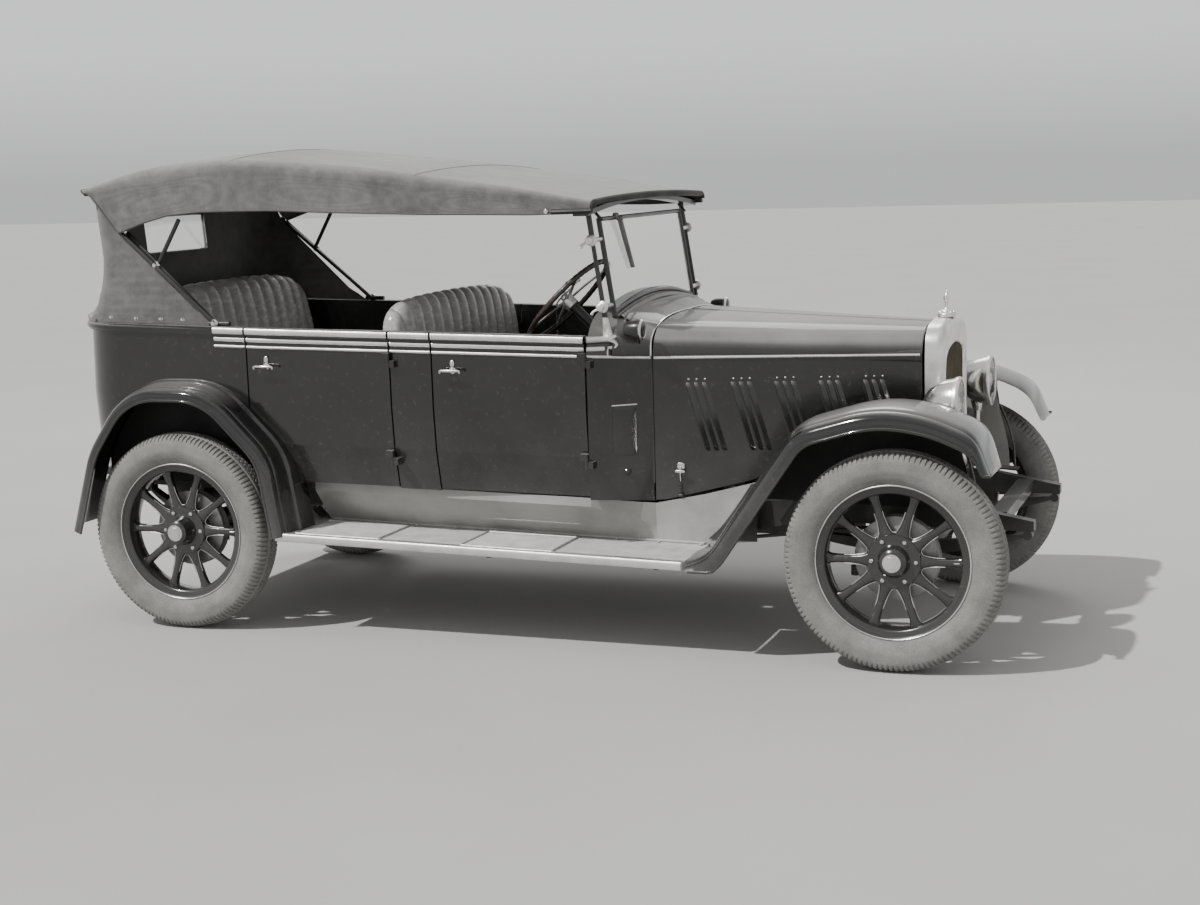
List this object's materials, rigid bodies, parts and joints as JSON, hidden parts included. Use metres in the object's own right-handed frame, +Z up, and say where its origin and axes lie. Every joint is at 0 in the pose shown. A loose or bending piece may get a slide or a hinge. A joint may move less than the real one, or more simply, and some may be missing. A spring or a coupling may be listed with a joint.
{
  "type": "open touring car",
  "caption": "Vintage open four-door touring car with its cloth hood up, wood-spoked wheels, running boards and a tall radiator.",
  "frame": {"origin": "centre of the bounding box's footprint, on the ground under the tyres", "axes": "+X to the front of the car, +Y to the car's left, +Z up"},
  "size_m": [3.7765, 1.644, 1.8591],
  "materials": {
    "body_paint": "gloss",
    "wing_paint": "gloss",
    "apron_paint": "matte",
    "chassis_paint": "satin",
    "bright_plate": "polished",
    "core_brass": "satin",
    "engine_iron": "matte",
    "wheel_paint": "gloss",
    "tyre_rubber": "matte",
    "seat_leather": "satin",
    "hood_canvas": "matte",
    "hood_iron": "satin",
    "clear_glass": "clear",
    "dark_wood": "satin",
    "board_rubber": "matte"
  },
  "bodies": {
    "root": {"back_panel": "body_paint", "centre_posts": "body_paint", "chassis_frame": "chassis_paint", "cowl_lamps": "bright_plate", "dashboard": "dark_wood", "engine_block": "engine_iron", "exhaust": "engine_iron", "floor": "dark_wood", "front_axle": "chassis_paint", "front_seat_back": "seat_leather", "front_seat_cushion": "seat_leather", "front_wings": "wing_paint", "fuel_tank": "chassis_paint", "headlamps": "bright_plate", "hood_back": "hood_canvas", "hood_frame": "hood_iron", "hood_roof": "hood_canvas", "leaf_springs": "chassis_paint", "radiator_cap": "bright_plate", "radiator_core": "core_brass", "radiator_shell": "bright_plate", "rear_axle": "chassis_paint", "rear_quarters": "body_paint", "rear_seat_back": "seat_leather", "rear_seat_cushion": "seat_leather", "rear_window": "clear_glass", "rear_wings": "wing_paint", "running_boards": "board_rubber", "scuttle": "body_paint", "steering_column": "chassis_paint", "valances": "apron_paint", "windscreen_frame": "bright_plate", "windscreen_glass": "clear_glass"},
    "knuckle_right": {"knuckle_right": "chassis_paint"},
    "knuckle_left": {"knuckle_left": "chassis_paint"},
    "wheel_front_right": {"wheel_front_right": "wheel_paint", "tyre_front_right": "tyre_rubber"},
    "wheel_front_left": {"wheel_front_left": "wheel_paint", "tyre_front_left": "tyre_rubber"},
    "wheel_rear_right": {"wheel_rear_right": "wheel_paint", "tyre_rear_right": "tyre_rubber"},
    "wheel_rear_left": {"wheel_rear_left": "wheel_paint", "tyre_rear_left": "tyre_rubber"},
    "tie_rod": {"tie_rod": "chassis_paint"},
    "drag_link": {"drag_link": "chassis_paint"},
    "drop_arm": {"drop_arm": "chassis_paint"},
    "steering_wheel": {"steering_wheel": "dark_wood"},
    "door_front_right": {"door_front_right": "body_paint"},
    "door_front_left": {"door_front_left": "body_paint"},
    "door_rear_right": {"door_rear_right": "body_paint"},
    "door_rear_left": {"door_rear_left": "body_paint"},
    "bonnet_right": {"bonnet_right": "body_paint"},
    "bonnet_left": {"bonnet_left": "body_paint"}
  },
  "joints": [
    {"name": "steer_right", "type": "hinge", "parent": "root", "child": "knuckle_right", "pos_m": [1.456, -0.61, 0.3875], "axis": [0, 0, 1], "range_deg": [-25, 25]},
    {"name": "steer_left", "type": "hinge", "parent": "root", "child": "knuckle_left", "pos_m": [1.456, 0.61, 0.3875], "axis": [0, 0, 1], "range_deg": [-25, 25]},
    {"name": "roll_front_right", "type": "hinge", "parent": "knuckle_right", "child": "wheel_front_right", "pos_m": [1.456, -0.715, 0.3875], "axis": [0, 1, 0], "continuous": true},
    {"name": "roll_front_left", "type": "hinge", "parent": "knuckle_left", "child": "wheel_front_left", "pos_m": [1.456, 0.715, 0.3875], "axis": [0, 1, 0], "continuous": true},
    {"name": "roll_rear_right", "type": "hinge", "parent": "root", "child": "wheel_rear_right", "pos_m": [-1.364, -0.715, 0.3875], "axis": [0, 1, 0], "continuous": true},
    {"name": "roll_rear_left", "type": "hinge", "parent": "root", "child": "wheel_rear_left", "pos_m": [-1.364, 0.715, 0.3875], "axis": [0, 1, 0], "continuous": true},
    {"name": "tie_rod_pin", "type": "hinge", "parent": "knuckle_left", "child": "tie_rod", "pos_m": [1.296, 0.61, 0.3155], "axis": [0, 0, 1], "range_deg": [-25, 25]},
    {"name": "drag_link_pin", "type": "hinge", "parent": "knuckle_right", "child": "drag_link", "pos_m": [1.456, -0.437, 0.4605], "axis": [0, 0, 1], "range_deg": [-25, 25]},
    {"name": "drop_arm_shaft", "type": "hinge", "parent": "root", "child": "drop_arm", "pos_m": [0.796, -0.42, 0.558], "axis": [0, 1, 0], "range_deg": [-25, 25]},
    {"name": "steering_wheel_turn", "type": "hinge", "parent": "root", "child": "steering_wheel", "pos_m": [0.16258, -0.35, 1.23516], "axis": [-0.7193, 0, 0.6947], "range_deg": [-300, 300]},
    {"name": "door_front_right_hinge", "type": "hinge", "parent": "root", "child": "door_front_right", "pos_m": [0.309, -0.648, 0.875], "axis": [0, 0, 1], "range_deg": [0, 70]},
    {"name": "door_rear_right_hinge", "type": "hinge", "parent": "root", "child": "door_rear_right", "pos_m": [-0.464, -0.68241, 0.875], "axis": [0, 0, 1], "range_deg": [0, 70]},
    {"name": "door_front_left_hinge", "type": "hinge", "parent": "root", "child": "door_front_left", "pos_m": [0.309, 0.648, 0.875], "axis": [0, 0, 1], "range_deg": [-70, 0]},
    {"name": "door_rear_left_hinge", "type": "hinge", "parent": "root", "child": "door_rear_left", "pos_m": [-0.464, 0.68241, 0.875], "axis": [0, 0, 1], "range_deg": [-70, 0]},
    {"name": "bonnet_right_hinge", "type": "hinge", "parent": "root", "child": "bonnet_right", "pos_m": [0.5113, 0, 1.194], "axis": [0.9988, 0, -0.0496], "range_deg": [-60, 0]},
    {"name": "bonnet_left_hinge", "type": "hinge", "parent": "root", "child": "bonnet_left", "pos_m": [0.5113, 0, 1.194], "axis": [0.9988, 0, -0.0496], "range_deg": [0, 60]}
  ],
  "couplings": [
    {"joint": "steer_left", "follows": "steer_right", "ratio": 1},
    {"joint": "tie_rod_pin", "follows": "steer_right", "ratio": -1},
    {"joint": "drag_link_pin", "follows": "steer_right", "ratio": -1},
    {"joint": "drop_arm_shaft", "follows": "steer_right", "ratio": 1},
    {"joint": "steering_wheel_turn", "follows": "steer_right", "ratio": 12}
  ]
}
